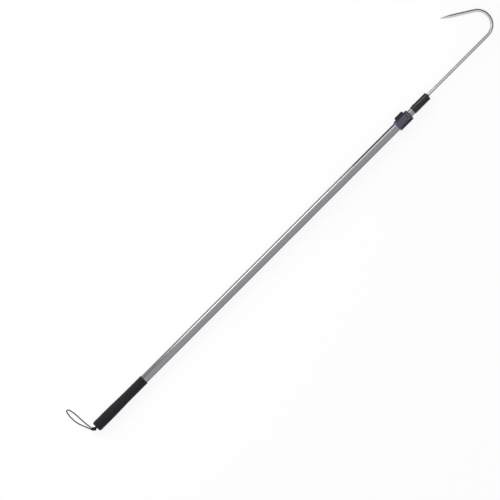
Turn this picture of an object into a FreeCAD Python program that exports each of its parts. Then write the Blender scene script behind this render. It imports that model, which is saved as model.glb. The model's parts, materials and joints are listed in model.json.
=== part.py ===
import FreeCAD, Part
import math
import os
import Sketcher
from FreeCAD import Placement, Rotation, Vector

# Telescopic fishing gaff with a push-button lock, lying on a floor as it rests by itself.
# Every piece but the wrist strap is drawn in the pole's own frame: X runs along the pole from
# the butt to the hook, the hook and the lock button point to +Y, and Z is square to the hook.
# One placement at the end rolls the whole gaff until the hook's arm touches the floor.

doc = FreeCAD.newDocument("FishingGaff")

# Driving dimensions, millimetres and degrees
sizes = {
    # outer pole
    "outerRadius": 11.0,
    "outerBore": 9.5,
    "outerStart": 2.8,
    "outerEnd": 1100.0,
    # inner pole, with the groove along its underside that keeps the hook from turning
    "innerRadius": 9.0,
    "innerBore": 7.5,
    "innerStart": 186.0,
    "innerEnd": 1188.0,
    "grooveWidth": 3.0,
    "grooveDepth": 0.6,
    "slideGap": 0.05,
    # foam grip, slightly flared towards the butt
    "gripLength": 172.0,
    "gripRadius": 12.8,
    "gripButtRadius": 14.1,
    "gripFlareStart": 46.0,
    "gripFlareEnd": 118.0,
    "gripButtCorner": 4.8,
    "gripFrontCorner": 1.6,
    # butt plug and the knotted end of the strap inside it
    "plugFaceDepth": 0.3,
    "plugLength": 24.0,
    "plugPocketStart": 14.0,
    "plugPocketRadius": 7.0,
    "strapHoleRadius": 3.8,
    "washerThickness": 1.0,
    "washerRadius": 6.8,
    "stopperRadius": 5.0,
    "stopperReach": 3.5,
    # lock collar, its centre line a little away from the button
    "collarStart": 1080.1,
    "housingEnd": 1117.2,
    "neckEnd": 1118.5,
    "collarEnd": 1125.6,
    "collarRadius": 14.9,
    "collarShift": 0.9,
    "collarFlat": 13.67,
    "collarRearRound": 2.2,
    "collarFrontRound": 3.0,
    "neckDepth": 1.1,
    "chamberStart": 1104.5,
    "chamberRadius": 13.2,
    "chamberFlat": 12.0,
    "sleeveWall": 0.9,
    # tongues of the cap that bulge back into the housing on both flats
    "tonguePlace": 1121.15,
    "tongueRadius": 6.05,
    "tongueRoot": 11.5,
    "notchRadius": 7.35,
    # cap spigot and wiper
    "spigotStart": 1112.0,
    "spigotBore": 11.2,
    "spigotCut": 7.0,
    "capWall": 1116.0,
    "wiperStart": 1119.8,
    "wiperEnd": 1122.2,
    "wiperRadius": 11.0,
    # mouth bush with the key that runs in the groove
    "keyWidth": 2.8,
    "keyGap": 0.1,
    # push button
    "buttonStart": 1088.5,
    "buttonEnd": 1115.7,
    "buttonLow": 7.0,
    "buttonTop": 19.0,
    "buttonHalfWidth": 9.0,
    "buttonTravel": 1.8,
    "buttonGap": 0.25,
    "buttonUnderGap": 0.2,
    "buttonSlope": 1.2,
    "buttonShoulder": 15.0,
    "buttonTopRound": 2.0,
    # lock plate
    "plateStart": 1107.0,
    "plateThickness": 3.0,
    "plateRadius": 12.95,
    "plateHalfWidth": 11.75,
    "plateHoleRadius": 9.15,
    "plateHoleRise": 2.0,
    "tabGap": 0.05,
    "tabHalfWidth": 6.0,
    "tabTop": 16.0,
    "tabPinHeight": 14.2,
    "tabPinSpread": 3.2,
    "tabPinRadius": 1.0,
    "tabPinLength": 10.0,
    # lock springs
    "springRearPlace": 1092.6,
    "springFrontPlace": 1099.4,
    "springBase": 12.0,
    "springLength": 5.1,
    "springCoilRadius": 2.0,
    "springWireRadius": 0.25,
    "springTurns": 4.0,
    "springHoleRadius": 2.6,
    "springHoleTop": 17.15,
    # tail bush and its pin
    "tailLength": 60.0,
    "tailSpigot": 20.0,
    "tailVent": 4.0,
    "tailPinRadius": 1.5,
    "pinInset": 0.1,
    # hook
    "rodRadius": 4.0,
    "rodOffset": 1.3,
    "rodStart": 1142.0,
    "bendStart": 1407.1,
    "bendRadius": 37.4,
    "bendAngle": 147.85,
    "armLength": 62.0,
    "pointLength": 26.0,
    "pointBulge": 0.35,
    "pointTipRadius": 0.5,
    # plug, sleeve and rivet that hold the hook
    "hookPlugStart": 1140.0,
    "noseRadius": 4.8,
    "noseEnd": 1193.0,
    "sleeveStart": 1136.8,
    "sleeveEnd": 1190.6,
    "sleeveRadius": 10.6,
    "sleeveRound": 0.8,
    "rivetPlace": 1147.3,
    "rivetRadius": 1.5,
    "rivetHeadRadius": 1.8,
    "rivetHeadHeight": 1.2,
    # screws
    "capScrewPlace": 1114.8,
    "capScrewAngle": 28.0,
    "capScrewRadius": 0.9,
    "capScrewHead": 1.3,
    "capScrewHeadHeight": 1.0,
    "capScrewSink": 0.2,
    "capScrewFoot": 0.6,
    "collarScrewPlace": 1086.0,
    "collarScrewRadius": 1.5,
    "collarScrewHead": 2.7,
    "collarScrewHeadDepth": 1.6,
    "collarScrewSink": 0.4,
    "collarScrewFoot": 0.1,
    # wrist strap
    "cordDiameter": 3.2,
    "knotButtRadius": 4.9,
    "knotLoopRadius": 4.6,
    # how the gaff lies
    "rollAngle": 5.61,
}

sheet = doc.addObject("Spreadsheet::Sheet", "Sizes")
for row, (alias, value) in enumerate(sizes.items(), start=1):
    sheet.set("A%d" % row, alias)
    sheet.set("B%d" % row, repr(value))
    sheet.setAlias("B%d" % row, alias)
doc.recompute()


def worth(expression):
    """The number that an expression on the sheet comes to."""
    return float(sheet.evalExpression(expression))


# Bodies and sketches

def newBody(label):
    body = doc.addObject("PartDesign::Body", label)
    body.Label = label
    return body


def newSketch(body, name, role, offset=None):
    sketch = body.newObject("Sketcher::SketchObject", name)
    plane = [f for f in body.Origin.OriginFeatures if f.Role == role][0]
    sketch.AttachmentSupport = (plane, [""])
    sketch.MapMode = "FlatFace"
    if offset:
        sketch.setExpression("AttachmentOffset.Base.z", offset)
    return sketch


def bind(sketch, kind, geometry, point, expression):
    """Ties one point's distance from the sketch's origin, along X or Y, to the sheet."""
    value = worth(expression)
    index = sketch.addConstraint(Sketcher.Constraint(kind, -1, 1, geometry, point, value))
    sketch.setExpression("Constraints[%d]" % index, expression)


def outline(sketch, corners):
    """A closed outline of straight lines whose corners are pairs of expressions."""
    points = [Vector(worth(along), worth(across), 0) for along, across in corners]
    count = len(points)
    for i in range(count):
        sketch.addGeometry(Part.LineSegment(points[i], points[(i + 1) % count]), False)
    for i in range(count):
        sketch.addConstraint(Sketcher.Constraint("Coincident", i, 2, (i + 1) % count, 1))
    for i, (along, across) in enumerate(corners):
        for kind, place in (("DistanceX", along), ("DistanceY", across)):
            if worth(place) != 0:
                bind(sketch, kind, i, 1, place)
            else:
                axis = -2 if kind == "DistanceX" else -1
                sketch.addConstraint(Sketcher.Constraint("PointOnObject", i, 1, axis))


def turned(body, name, start, end, inner, outer, cut=False):
    """A ring or rod turned about the pole's axis, added or cut away."""
    sketch = newSketch(body, name + "Profile", "XY_Plane")
    outline(sketch, [(start, inner), (end, inner), (end, outer), (start, outer)])
    kind = "PartDesign::Groove" if cut else "PartDesign::Revolution"
    feature = body.newObject(kind, name)
    feature.Profile = sketch
    feature.ReferenceAxis = (sketch, ["H_Axis"])
    feature.Angle = 360
    return feature


def slab(body, name, corners, start, end, cut=False):
    """Straight-sided outline in Y and Z, drawn out along X from start to end."""
    sketch = newSketch(body, name + "Profile", "YZ_Plane", start)
    outline(sketch, corners)
    return drawOut(body, name, sketch, "(%s) - (%s)" % (end, start), cut)


def disc(body, name, centre, radius, start, end, cut=False):
    """Round bar along X whose axis stands off the pole's axis by centre along Y."""
    sketch = newSketch(body, name + "Profile", "YZ_Plane", start)
    sketch.addGeometry(Part.Circle(Vector(worth(centre), 0, 0), Vector(0, 0, 1), worth(radius)))
    sketch.addConstraint(Sketcher.Constraint("PointOnObject", 0, 3, -1))
    if worth(centre) != 0:
        bind(sketch, "DistanceX", 0, 3, centre)
    else:
        sketch.addConstraint(Sketcher.Constraint("PointOnObject", 0, 3, -2))
    index = sketch.addConstraint(Sketcher.Constraint("Radius", 0, worth(radius)))
    sketch.setExpression("Constraints[%d]" % index, radius)
    return drawOut(body, name, sketch, "(%s) - (%s)" % (end, start), cut)


def drawOut(body, name, sketch, length, cut):
    feature = body.newObject("PartDesign::Pocket" if cut else "PartDesign::Pad", name)
    feature.Profile = sketch
    feature.setExpression("Length", length)
    # a pocket goes against the sketch's normal unless it is reversed
    feature.Reversed = cut
    return feature


def drill(body, name, place, direction, radius, length):
    """Round hole from a place, given as three expressions, along a direction."""
    hole = body.newObject("PartDesign::SubtractiveCylinder", name)
    hole.setExpression("Radius", radius)
    hole.setExpression("Height", length)
    hole.Placement = Placement(Vector(0, 0, 0), Rotation(Vector(0, 0, 1), direction))
    for axis, expression in zip("xyz", place):
        hole.setExpression("Placement.Base." + axis, expression)
    return hole


def rod(label, place, direction, radius, length):
    """A plain cylinder, as a part that a boolean can take."""
    cylinder = doc.addObject("Part::Cylinder", label)
    cylinder.setExpression("Radius", radius)
    cylinder.setExpression("Height", length)
    cylinder.Placement = Placement(Vector(0, 0, 0), Rotation(Vector(0, 0, 1), direction))
    for axis, expression in zip("xyz", place):
        cylinder.setExpression("Placement.Base." + axis, expression)
    return cylinder


def fused(label, pieces):
    union = doc.addObject("Part::MultiFuse", label)
    union.Shapes = pieces
    return union


def roundEdges(body, name, radius, wanted):
    """Rounds the edges of the body's last feature that the test picks out."""
    doc.recompute()
    base = body.Tip
    edges = ["Edge%d" % (i + 1) for i, edge in enumerate(base.Shape.Edges) if wanted(edge)]
    fillet = body.newObject("PartDesign::Fillet", name)
    fillet.Base = (base, edges)
    fillet.setExpression("Radius", radius)
    return fillet


def atPlace(along, outer):
    """Test for an edge that lies at one place along the pole, away from the bore."""
    def wanted(edge):
        box = edge.BoundBox
        flat = abs(box.XMin - along) < 1e-4 and abs(box.XMax - along) < 1e-4
        middle = edge.valueAt((edge.FirstParameter + edge.LastParameter) / 2)
        return flat and math.hypot(middle.y, middle.z) > outer
    return wanted


alongX = Vector(1, 0, 0)
alongY = Vector(0, 1, 0)
underneath = Vector(0, 0, -1)
awayFromButton = Vector(0, -1, 0)

slideBore = "Sizes.innerRadius + Sizes.slideGap"
screwSeatUnder = "-(Sizes.collarFlat - Sizes.collarScrewHeadDepth)"
screwSeatSide = "-(Sizes.collarRadius + Sizes.collarShift - Sizes.collarScrewHeadDepth)"


def makeOuterTube():
    body = newBody("outer_tube")
    turned(body, "OuterTubeWall", "Sizes.outerStart", "Sizes.outerEnd", "Sizes.outerBore",
           "Sizes.outerRadius")
    for name, direction in (("Under", underneath), ("Side", awayFromButton)):
        drill(body, "OuterTubeScrewHole" + name, ("Sizes.collarScrewPlace", "0", "0"), direction,
              "Sizes.collarScrewRadius", "Sizes.outerRadius + 1")
    return body


def makeGrip():
    """Foam sleeve: straight in front, flared behind by two arcs that meet tangentially."""
    body = newBody("grip")
    sketch = newSketch(body, "GripProfile", "XY_Plane")
    start = worth("Sizes.gripFlareStart")
    end = worth("Sizes.gripFlareEnd")
    butt = worth("Sizes.gripButtRadius")
    front = worth("Sizes.gripRadius")
    length = worth("Sizes.gripLength")
    bore = worth("Sizes.outerRadius")
    buttCorner = worth("Sizes.gripButtCorner")
    frontCorner = worth("Sizes.gripFrontCorner")
    half = (end - start) / 2
    drop = (butt - front) / 2
    flare = (half ** 2 + drop ** 2) / (2 * drop)
    slope = math.asin(half / flare)
    flareMid = Vector((start + end) / 2, (butt + front) / 2, 0)
    halfway = 1 - math.sqrt(0.5)
    # the corner at the butt cuts into the bore's edge, so the profile starts where they meet
    lip = buttCorner - math.sqrt(buttCorner ** 2 - (bore - butt + buttCorner) ** 2)
    boreButt = Vector(lip, bore, 0)
    boreFront = Vector(length, bore, 0)
    frontLow = Vector(length, front - frontCorner, 0)
    frontTop = Vector(length - frontCorner, front, 0)
    flareEnd = Vector(end, front, 0)
    flareStart = Vector(start, butt, 0)
    buttTop = Vector(buttCorner, butt, 0)
    frontMid = Vector(length - frontCorner * halfway, front - frontCorner * halfway, 0)
    buttMid = Vector(buttCorner * halfway, butt - buttCorner * halfway, 0)
    rise = flare * (1 - math.cos(slope / 2))
    frontArcMid = Vector(end - flare * math.sin(slope / 2), front + rise, 0)
    buttArcMid = Vector(start + flare * math.sin(slope / 2), butt - rise, 0)
    sketch.addGeometry([
        Part.LineSegment(boreButt, boreFront),
        Part.LineSegment(boreFront, frontLow),
        Part.Arc(frontLow, frontMid, frontTop),
        Part.LineSegment(frontTop, flareEnd),
        Part.Arc(flareEnd, frontArcMid, flareMid),
        Part.Arc(flareMid, buttArcMid, flareStart),
        Part.LineSegment(flareStart, buttTop),
        Part.Arc(buttTop, buttMid, boreButt),
    ], False)
    revolution = body.newObject("PartDesign::Revolution", "GripFoam")
    revolution.Profile = sketch
    revolution.ReferenceAxis = (sketch, ["H_Axis"])
    revolution.Angle = 360
    return body


def makeButtPlug():
    body = newBody("butt_plug")
    turned(body, "PlugFlange", "Sizes.plugFaceDepth", "Sizes.outerStart", "0",
           "Sizes.outerRadius")
    turned(body, "PlugSpigot", "Sizes.outerStart", "Sizes.plugLength", "0", "Sizes.outerBore")
    turned(body, "PlugHole", "Sizes.plugFaceDepth", "Sizes.plugPocketStart", "0",
           "Sizes.strapHoleRadius", cut=True)
    turned(body, "PlugPocket", "Sizes.plugPocketStart", "Sizes.plugLength", "0",
           "Sizes.plugPocketRadius", cut=True)
    return body


def makeStrapWasher():
    body = newBody("strap_washer")
    turned(body, "Washer", "Sizes.plugPocketStart",
           "Sizes.plugPocketStart + Sizes.washerThickness", "Sizes.strapHoleRadius",
           "Sizes.washerRadius")
    return body


def makeStrapStopper():
    """The two ends of the strap in the plug's hole and the knot that holds them inside."""
    stem = rod("StopperStem", ("Sizes.plugFaceDepth", "0", "0"), alongX,
               "Sizes.strapHoleRadius", "Sizes.plugPocketStart + Sizes.washerThickness"
               " - Sizes.plugFaceDepth")
    knot = doc.addObject("Part::Sphere", "StopperKnot")
    knot.setExpression("Radius", "Sizes.stopperRadius")
    knot.setExpression("Placement.Base.x", "Sizes.plugPocketStart + Sizes.washerThickness"
                       " + Sizes.stopperReach")
    behind = doc.addObject("Part::Box", "StopperFace")
    behind.setExpression("Length", "Sizes.plugPocketStart + Sizes.washerThickness")
    behind.setExpression("Width", "4 * Sizes.stopperRadius")
    behind.setExpression("Height", "4 * Sizes.stopperRadius")
    behind.setExpression("Placement.Base.y", "-2 * Sizes.stopperRadius")
    behind.setExpression("Placement.Base.z", "-2 * Sizes.stopperRadius")
    seated = doc.addObject("Part::Cut", "StopperSeated")
    seated.Base = knot
    seated.Tool = behind
    return fused("strap_stopper", [stem, seated])


def makeMouthBush():
    """Nylon ring in front of the outer tube; its key runs in the inner tube's groove."""
    body = newBody("mouth_bush")
    turned(body, "BushRing", "Sizes.outerEnd", "Sizes.chamberStart", slideBore,
           "Sizes.outerRadius")
    half = "Sizes.keyWidth / 2"
    inside = "-(Sizes.innerRadius - Sizes.grooveDepth + Sizes.keyGap)"
    outside = "-(Sizes.innerRadius + Sizes.outerRadius) / 2"
    slab(body, "BushKey", [("-" + half, inside), (half, inside), (half, outside),
                           ("-" + half, outside)], "Sizes.outerEnd", "Sizes.chamberStart")
    return body


def collarBar(body, name, start, end, radius="Sizes.collarRadius", flat="Sizes.collarFlat"):
    """Stretch of the collar's round-sided section with its two flats."""
    disc(body, name, "-Sizes.collarShift", radius, start, end)
    for side, sign in (("Top", ""), ("Under", "-")):
        near = "%s(%s)" % (sign, flat)
        far = "%s2 * Sizes.collarRadius" % sign
        wide = "2 * Sizes.collarRadius"
        corners = [("-" + wide, near), (wide, near), (wide, far), ("-" + wide, far)]
        slab(body, name + "Flat" + side, corners, start, end, cut=True)


def makeCollarHousing():
    body = newBody("collar_housing")
    collarBar(body, "HousingBar", "Sizes.collarStart", "Sizes.housingEnd")
    roundEdges(body, "HousingRearRound", "Sizes.collarRearRound",
               atPlace(worth("Sizes.collarStart"), worth("Sizes.outerRadius")))
    turned(body, "HousingBore", "Sizes.collarStart", "Sizes.chamberStart", "0",
           "Sizes.outerRadius", cut=True)
    chamber = newSketch(body, "ChamberProfile", "YZ_Plane", "Sizes.chamberStart")
    flattedCircle(chamber, "-Sizes.collarShift", "Sizes.chamberRadius", "Sizes.chamberFlat")
    drawOut(body, "Chamber", chamber, "Sizes.housingEnd - Sizes.chamberStart", True)
    tongues(body, "HousingNotch", "Sizes.notchRadius", "Sizes.housingEnd", "Sizes.collarRadius",
            cut=True)
    buttonPocket(body)
    for name, direction in (("Under", underneath), ("Side", awayFromButton)):
        place = ("Sizes.collarScrewPlace", "0", "0")
        drill(body, "HousingScrewHole" + name, place, direction, "Sizes.collarScrewRadius",
              "2 * Sizes.collarRadius")
    drill(body, "HousingScrewSeatUnder", ("Sizes.collarScrewPlace", "0", screwSeatUnder),
          underneath, "Sizes.collarScrewHead", "Sizes.collarRadius")
    drill(body, "HousingScrewSeatSide", ("Sizes.collarScrewPlace", screwSeatSide, "0"),
          awayFromButton, "Sizes.collarScrewHead", "Sizes.collarRadius")
    for name, turn in (("Front", 0), ("Back", 180)):
        direction = capScrewDirection(turn)
        middle = ("Sizes.capScrewPlace", "-Sizes.collarShift", "0")
        drill(body, "HousingCapHole" + name, middle, direction, "Sizes.capScrewRadius",
              "2 * Sizes.collarRadius")
        drill(body, "HousingCapSeat" + name, capScrewSeat(direction), direction,
              "Sizes.capScrewHead", "Sizes.collarRadius")
    return body


def tongues(body, name, radius, end, top, cut=False):
    """D-shaped plates on both flats of the collar, their round sides towards the butt."""
    reach = worth(radius)
    place = worth("Sizes.tonguePlace")
    middle = -worth("Sizes.collarShift")
    straight = worth(end)
    half = math.sqrt(reach ** 2 - (place - straight) ** 2)
    for side, sign in (("Top", ""), ("Under", "-")):
        sketch = newSketch(body, name + side + "Profile", "XY_Plane",
                           sign + "Sizes.tongueRoot")
        sketch.addGeometry([
            Part.Arc(Vector(straight, middle + half, 0), Vector(place - reach, middle, 0),
                     Vector(straight, middle - half, 0)),
            Part.LineSegment(Vector(straight, middle - half, 0),
                             Vector(straight, middle + half, 0)),
        ], False)
        sketch.addConstraint(Sketcher.Constraint("Coincident", 0, 2, 1, 1))
        sketch.addConstraint(Sketcher.Constraint("Coincident", 1, 2, 0, 1))
        sketch.addConstraint(Sketcher.Constraint("Vertical", 1))
        bind(sketch, "DistanceX", 0, 3, "Sizes.tonguePlace")
        bind(sketch, "DistanceY", 0, 3, "-Sizes.collarShift")
        bind(sketch, "DistanceX", 1, 1, end)
        index = sketch.addConstraint(Sketcher.Constraint("Radius", 0, reach))
        sketch.setExpression("Constraints[%d]" % index, radius)
        plate = drawOut(body, name + side, sketch, top + " - Sizes.tongueRoot", cut)
        plate.Reversed = cut == (side == "Top")


def capScrewDirection(turn):
    angle = math.radians(worth("Sizes.capScrewAngle") + turn)
    return Vector(0, -math.sin(angle), math.cos(angle))


def capScrewSeat(direction):
    """Bottom of a cap screw's head, on a line out from the collar's own centre."""
    reach = "(Sizes.collarRadius - Sizes.capScrewHeadHeight)"
    return ("Sizes.capScrewPlace", "-Sizes.collarShift + %r * %s" % (direction.y, reach),
            "%r * %s" % (direction.z, reach))


def flattedCircle(sketch, centre, radius, flat):
    """A circle about a point on the Y axis with its top and bottom cut off level."""
    middle = worth(centre)
    reach = worth(radius)
    level = worth(flat)
    chord = math.sqrt(reach ** 2 - level ** 2)
    corners = [Vector(middle + chord, level, 0), Vector(middle - chord, level, 0),
               Vector(middle - chord, -level, 0), Vector(middle + chord, -level, 0)]
    sketch.addGeometry([
        Part.LineSegment(corners[0], corners[1]),
        Part.Arc(corners[1], Vector(middle - reach, 0, 0), corners[2]),
        Part.LineSegment(corners[2], corners[3]),
        Part.Arc(corners[3], Vector(middle + reach, 0, 0), corners[0]),
    ], False)
    for i in range(4):
        sketch.addConstraint(Sketcher.Constraint("Coincident", i, 2, (i + 1) % 4, 1))
    sketch.addConstraint(Sketcher.Constraint("Horizontal", 0))
    sketch.addConstraint(Sketcher.Constraint("Horizontal", 2))
    bind(sketch, "DistanceY", 0, 1, flat)
    bind(sketch, "DistanceY", 2, 1, "-(%s)" % flat)
    for arc in (1, 3):
        sketch.addConstraint(Sketcher.Constraint("PointOnObject", arc, 3, -1))
        bind(sketch, "DistanceX", arc, 3, centre)
        index = sketch.addConstraint(Sketcher.Constraint("Radius", arc, reach))
        sketch.setExpression("Constraints[%d]" % index, radius)


def buttonPocket(body):
    """Window for the button: over the outer tube it stops at a thin sleeve of the housing."""
    half = "(Sizes.buttonHalfWidth + Sizes.buttonGap)"
    top = "2 * Sizes.collarRadius"
    sketch = newSketch(body, "PocketRearProfile", "YZ_Plane",
                       "Sizes.buttonStart - Sizes.buttonGap")
    sleeve = worth("Sizes.outerRadius + Sizes.sleeveWall")
    side = worth(half)
    low = math.sqrt(sleeve ** 2 - side ** 2)
    high = worth(top)
    corners = [Vector(low, -side, 0), Vector(high, -side, 0), Vector(high, side, 0),
               Vector(low, side, 0)]
    sketch.addGeometry([
        Part.LineSegment(corners[0], corners[1]),
        Part.LineSegment(corners[1], corners[2]),
        Part.LineSegment(corners[2], corners[3]),
        Part.Arc(corners[3], Vector(sleeve, 0, 0), corners[0]),
    ], False)
    for i in range(4):
        sketch.addConstraint(Sketcher.Constraint("Coincident", i, 2, (i + 1) % 4, 1))
    sketch.addConstraint(Sketcher.Constraint("Horizontal", 0))
    sketch.addConstraint(Sketcher.Constraint("Vertical", 1))
    sketch.addConstraint(Sketcher.Constraint("Horizontal", 2))
    bind(sketch, "DistanceY", 0, 1, "-" + half)
    bind(sketch, "DistanceY", 2, 1, half)
    bind(sketch, "DistanceX", 1, 1, top)
    sketch.addConstraint(Sketcher.Constraint("Coincident", 3, 3, -1, 1))
    index = sketch.addConstraint(Sketcher.Constraint("Radius", 3, sleeve))
    sketch.setExpression("Constraints[%d]" % index, "Sizes.outerRadius + Sizes.sleeveWall")
    drawOut(body, "PocketRear", sketch,
            "Sizes.chamberStart - Sizes.buttonStart + Sizes.buttonGap", True)
    slab(body, "PocketFront", [("0", "-" + half), (top, "-" + half), (top, half), ("0", half)],
         "Sizes.chamberStart", "Sizes.buttonEnd + Sizes.buttonGap", cut=True)


def makeCollarCap():
    """Front end of the collar: a groove marks the joint and a spigot plugs the lock chamber."""
    body = newBody("collar_cap")
    collarBar(body, "CapRim", "Sizes.neckEnd", "Sizes.collarEnd")
    roundEdges(body, "CapFrontRound", "Sizes.collarFrontRound",
               atPlace(worth("Sizes.collarEnd"), worth("Sizes.outerRadius")))
    neck = newSketch(body, "NeckProfile", "YZ_Plane", "Sizes.housingEnd")
    flattedCircle(neck, "-Sizes.collarShift", "Sizes.collarRadius - Sizes.neckDepth",
                  "Sizes.collarFlat - Sizes.neckDepth")
    drawOut(body, "Neck", neck, "Sizes.neckEnd - Sizes.housingEnd", False)
    spigot = newSketch(body, "SpigotProfile", "YZ_Plane", "Sizes.spigotStart")
    flattedCircle(spigot, "-Sizes.collarShift", "Sizes.chamberRadius", "Sizes.chamberFlat")
    drawOut(body, "Spigot", spigot, "Sizes.housingEnd - Sizes.spigotStart", False)
    tongues(body, "CapTongue", "Sizes.tongueRadius", "Sizes.neckEnd", "Sizes.collarFlat")
    turned(body, "CapBore", "Sizes.spigotStart", "Sizes.collarEnd", "0", slideBore, cut=True)
    turned(body, "SpigotBore", "Sizes.spigotStart", "Sizes.capWall", "0", "Sizes.spigotBore",
           cut=True)
    turned(body, "WiperSeat", "Sizes.wiperStart", "Sizes.wiperEnd", "0", "Sizes.wiperRadius",
           cut=True)
    wide = "2 * Sizes.collarRadius"
    slab(body, "SpigotClearance", [("Sizes.spigotCut", "-" + wide), (wide, "-" + wide),
                                   (wide, wide), ("Sizes.spigotCut", wide)],
         "Sizes.spigotStart", "Sizes.housingEnd", cut=True)
    for name, turn in (("Front", 0), ("Back", 180)):
        middle = ("Sizes.capScrewPlace", "-Sizes.collarShift", "0")
        drill(body, "CapHole" + name, middle, capScrewDirection(turn), "Sizes.capScrewRadius",
              "2 * Sizes.collarRadius")
    return body


def makeWiperRing():
    body = newBody("wiper_ring")
    turned(body, "Wiper", "Sizes.wiperStart", "Sizes.wiperEnd", slideBore, "Sizes.wiperRadius")
    return body


def makeCapScrews():
    pieces = []
    for name, turn in (("Front", 0), ("Back", 180)):
        direction = capScrewDirection(turn)
        # the shank ends inside the spigot's wall
        inner = "(Sizes.spigotBore + Sizes.capScrewFoot)"
        foot = ("Sizes.capScrewPlace", "-Sizes.collarShift + %r * %s" % (direction.y, inner),
                "%r * %s" % (direction.z, inner))
        pieces.append(rod("CapScrewShank" + name, foot, direction, "Sizes.capScrewRadius",
                          "Sizes.collarRadius - Sizes.capScrewHeadHeight - " + inner))
        pieces.append(rod("CapScrewHead" + name, capScrewSeat(direction), direction,
                          "Sizes.capScrewHead",
                          "Sizes.capScrewHeadHeight - Sizes.capScrewSink"))
    return fused("cap_screws", pieces)


def makeCollarScrews():
    """Two screws, under the pole and on the side away from the button, into the outer tube."""
    pieces = []
    foot = "(Sizes.outerBore + Sizes.collarScrewFoot)"
    seats = (("Under", underneath, ("Sizes.collarScrewPlace", "0", "-" + foot),
              ("Sizes.collarScrewPlace", "0", screwSeatUnder),
              "Sizes.collarFlat - Sizes.collarScrewHeadDepth - " + foot),
             ("Side", awayFromButton, ("Sizes.collarScrewPlace", "-" + foot, "0"),
              ("Sizes.collarScrewPlace", screwSeatSide, "0"),
              "Sizes.collarRadius + Sizes.collarShift - Sizes.collarScrewHeadDepth - " + foot))
    for name, direction, start, seat, length in seats:
        pieces.append(rod("CollarScrewShank" + name, start, direction,
                          "Sizes.collarScrewRadius", length))
        pieces.append(rod("CollarScrewHead" + name, seat, direction, "Sizes.collarScrewHead",
                          "Sizes.collarScrewHeadDepth - Sizes.collarScrewSink"))
    return fused("collar_screws", pieces)


def makeLockButton():
    body = newBody("lock_button")
    sketch = newSketch(body, "ButtonProfile", "XY_Plane")
    slope = "Sizes.buttonSlope"
    outline(sketch, [
        ("Sizes.buttonStart", "Sizes.buttonLow"),
        ("Sizes.buttonEnd", "Sizes.buttonLow"),
        ("Sizes.buttonEnd", "Sizes.buttonShoulder"),
        ("Sizes.buttonEnd - %s / 2" % slope, "Sizes.buttonTop"),
        ("Sizes.buttonStart + " + slope, "Sizes.buttonTop"),
        ("Sizes.buttonStart", "Sizes.buttonShoulder"),
    ])
    pad = body.newObject("PartDesign::Pad", "ButtonBlock")
    pad.Profile = sketch
    pad.Midplane = True
    pad.setExpression("Length", "2 * Sizes.buttonHalfWidth")
    top = worth("Sizes.buttonTop")

    def topEdge(edge):
        return edge.BoundBox.YMin > top - 1e-4
    roundEdges(body, "ButtonTopRound", "Sizes.buttonTopRound", topEdge)
    # the underside clears the housing's thin sleeve by the same gap when pressed
    underside = "(Sizes.outerRadius + Sizes.sleeveWall + Sizes.buttonUnderGap)"
    disc(body, "ButtonUnderside", "Sizes.buttonTravel", underside, "Sizes.buttonStart - 1",
         "Sizes.buttonEnd + 1", cut=True)
    for name in ("Rear", "Front"):
        drill(body, "ButtonSpringHole" + name,
              ("Sizes.spring%sPlace" % name, "Sizes.innerRadius", "0"), alongY,
              "Sizes.springHoleRadius", "Sizes.springHoleTop - Sizes.innerRadius")
    half = "(Sizes.tabHalfWidth + Sizes.tabGap)"
    low = "Sizes.innerRadius"
    high = "Sizes.tabTop + Sizes.tabGap"
    slab(body, "ButtonTabSlot", [(low, "-" + half), (high, "-" + half), (high, half),
                                 (low, half)], "Sizes.plateStart - Sizes.tabGap",
         "Sizes.plateStart + Sizes.plateThickness + Sizes.tabGap", cut=True)
    for name, place in tabPinPlaces():
        drill(body, "ButtonPinHole" + name, place, alongX, "Sizes.tabPinRadius",
              "Sizes.tabPinLength")
    return body


def tabPinPlaces():
    start = "Sizes.plateStart + (Sizes.plateThickness - Sizes.tabPinLength) / 2"
    return (("Near", (start, "Sizes.tabPinHeight", "Sizes.tabPinSpread")),
            ("Far", (start, "Sizes.tabPinHeight", "-Sizes.tabPinSpread")))


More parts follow.
